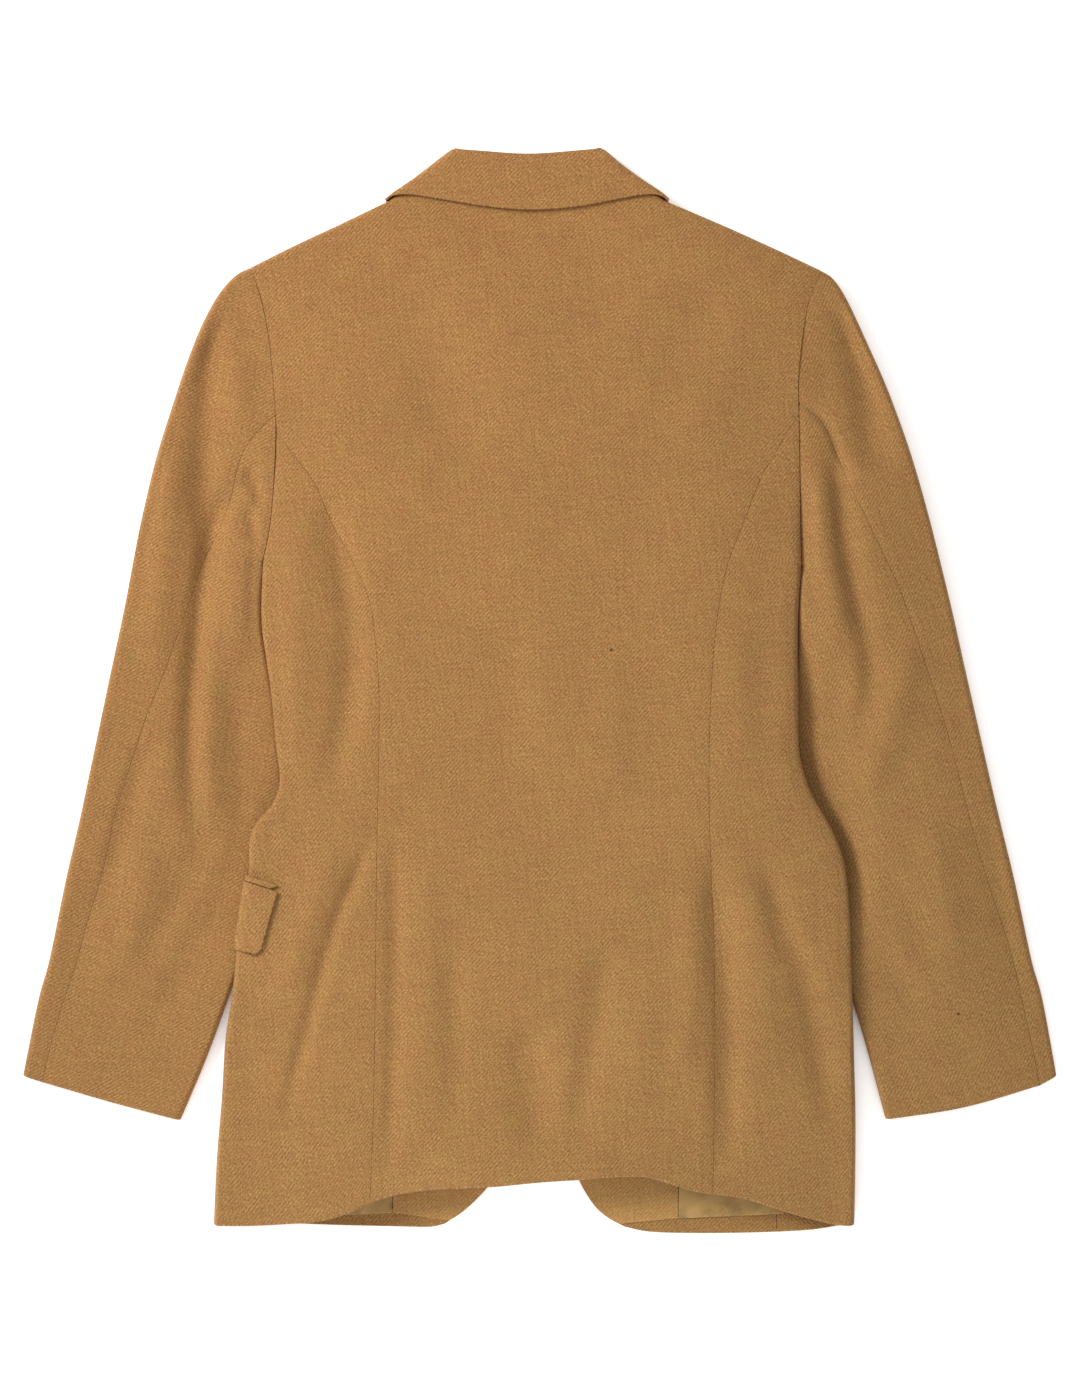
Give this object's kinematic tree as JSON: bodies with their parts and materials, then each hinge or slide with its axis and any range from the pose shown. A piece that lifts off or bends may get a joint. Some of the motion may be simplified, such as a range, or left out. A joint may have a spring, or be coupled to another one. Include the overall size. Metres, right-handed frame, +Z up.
{
  "type": "three-button blazer",
  "caption": "Camel wool single-breasted blazer laid flat on its front, back up, with princess seams, two-piece sleeves and a flap pocket at the side.",
  "frame": {"origin": "On the table under the middle of the laid garment's plan.", "axes": "+Z up from the table to the viewer, +Y from the hem to the collar, +X to the right of the laid garment seen from above."},
  "size_m": [0.7652, 0.8017, 0.0344],
  "materials": {
    "wool_whipcord": "matte",
    "wool_inside": "matte",
    "lining_satin": "satin",
    "horn_button": "satin"
  },
  "bodies": {
    "root": {"back_centre": "wool_whipcord", "side_body_left": "wool_whipcord", "side_body_right": "wool_whipcord", "front_left": "wool_whipcord", "front_right": "wool_whipcord", "lapel_left": "wool_whipcord", "lapel_right": "wool_whipcord", "sleeve_top_left": "wool_whipcord", "sleeve_top_right": "wool_whipcord", "sleeve_under_left": "wool_whipcord", "sleeve_under_right": "wool_whipcord", "collar_leaf": "wool_whipcord", "flap_left": "wool_whipcord", "flap_right": "wool_whipcord", "facing_left": "wool_inside", "facing_right": "wool_inside", "collar_stand": "wool_inside", "flap_jet_left": "wool_inside", "flap_jet_right": "wool_inside", "lining_left": "lining_satin", "lining_right": "lining_satin", "button_1": "horn_button", "button_2": "horn_button", "button_3": "horn_button"}
  },
  "joints": []
}
